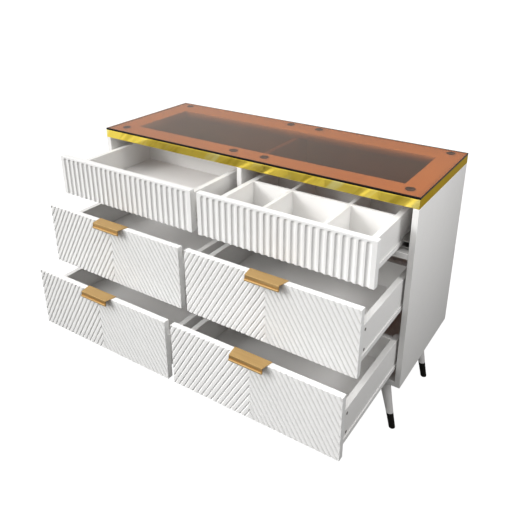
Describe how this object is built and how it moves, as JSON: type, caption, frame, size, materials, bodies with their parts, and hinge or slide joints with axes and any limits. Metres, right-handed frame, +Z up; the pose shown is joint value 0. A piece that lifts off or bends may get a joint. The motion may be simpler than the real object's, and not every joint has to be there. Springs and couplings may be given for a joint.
{
  "type": "closet island with drawers",
  "caption": "Closet island on splayed legs: white drawer cabinet with fluted and chevron-grooved fronts, gold edge trim and pulls, and a tinted glass top over a windowed frame.",
  "frame": {"origin": "centre of the bounding box's footprint on the floor, measured with every drawer pulled out as in the picture", "axes": "+X to the right along the cabinet's width, +Y to the cabinet's back, +Z up; the drawers open towards -Y"},
  "size_m": [1.2, 0.8497, 0.8721],
  "materials": {
    "white_board": "satin",
    "white_front": "satin",
    "gold_trim": "polished",
    "gold_pull": "satin",
    "tinted_glass": "gloss",
    "white_leg": "satin",
    "channel_steel": "satin",
    "black_tip": "satin",
    "pad_rubber": "matte",
    "screw_steel": "satin"
  },
  "bodies": {
    "cabinet": {"side_panel_left": "white_board", "side_panel_right": "white_board", "back_panel": "white_board", "bottom_panel": "white_board", "centre_partition": "white_board", "front_rail": "white_board", "top_frame": "white_board", "edge_trim": "gold_trim", "glass_top": "tinted_glass", "leg_front_left": "white_leg", "leg_front_right": "white_leg", "leg_back_left": "white_leg", "leg_back_right": "white_leg", "top_left_channel_left": "channel_steel", "top_left_channel_right": "channel_steel", "top_right_channel_left": "channel_steel", "top_right_channel_right": "channel_steel", "middle_left_channel_left": "channel_steel", "middle_left_channel_right": "channel_steel", "middle_right_channel_left": "channel_steel", "middle_right_channel_right": "channel_steel", "bottom_left_channel_left": "channel_steel", "bottom_left_channel_right": "channel_steel", "bottom_right_channel_left": "channel_steel", "bottom_right_channel_right": "channel_steel"},
    "top_left_drawer": {"top_left_drawer_front": "white_front", "top_left_drawer_base": "white_board", "top_left_drawer_side_left": "white_board", "top_left_drawer_side_right": "white_board", "top_left_drawer_back": "white_board"},
    "top_right_drawer": {"top_right_drawer_front": "white_front", "top_right_drawer_base": "white_board", "top_right_drawer_side_left": "white_board", "top_right_drawer_side_right": "white_board", "top_right_drawer_back": "white_board", "top_right_divider_crate": "white_board"},
    "middle_left_drawer": {"middle_left_drawer_front": "white_front", "middle_left_drawer_base": "white_board", "middle_left_drawer_side_left": "white_board", "middle_left_drawer_side_right": "white_board", "middle_left_drawer_back": "white_board", "middle_left_handle": "gold_pull"},
    "middle_right_drawer": {"middle_right_drawer_front": "white_front", "middle_right_drawer_base": "white_board", "middle_right_drawer_side_left": "white_board", "middle_right_drawer_side_right": "white_board", "middle_right_drawer_back": "white_board", "middle_right_handle": "gold_pull"},
    "bottom_left_drawer": {"bottom_left_drawer_front": "white_front", "bottom_left_drawer_base": "white_board", "bottom_left_drawer_side_left": "white_board", "bottom_left_drawer_side_right": "white_board", "bottom_left_drawer_back": "white_board", "bottom_left_handle": "gold_pull"},
    "bottom_right_drawer": {"bottom_right_drawer_front": "white_front", "bottom_right_drawer_base": "white_board", "bottom_right_drawer_side_left": "white_board", "bottom_right_drawer_side_right": "white_board", "bottom_right_drawer_back": "white_board", "bottom_right_handle": "gold_pull"}
  },
  "joints": [
    {"name": "top_left_slide", "type": "slide", "parent": "cabinet", "child": "top_left_drawer", "axis": [0, -1, 0], "range_m": [-0.23, 0.15]},
    {"name": "top_right_slide", "type": "slide", "parent": "cabinet", "child": "top_right_drawer", "axis": [0, -1, 0], "range_m": [-0.23, 0.15]},
    {"name": "middle_left_slide", "type": "slide", "parent": "cabinet", "child": "middle_left_drawer", "axis": [0, -1, 0], "range_m": [-0.298, 0.082]},
    {"name": "middle_right_slide", "type": "slide", "parent": "cabinet", "child": "middle_right_drawer", "axis": [0, -1, 0], "range_m": [-0.298, 0.082]},
    {"name": "bottom_left_slide", "type": "slide", "parent": "cabinet", "child": "bottom_left_drawer", "axis": [0, -1, 0], "range_m": [-0.377, 0.003]},
    {"name": "bottom_right_slide", "type": "slide", "parent": "cabinet", "child": "bottom_right_drawer", "axis": [0, -1, 0], "range_m": [-0.377, 0.003]}
  ]
}
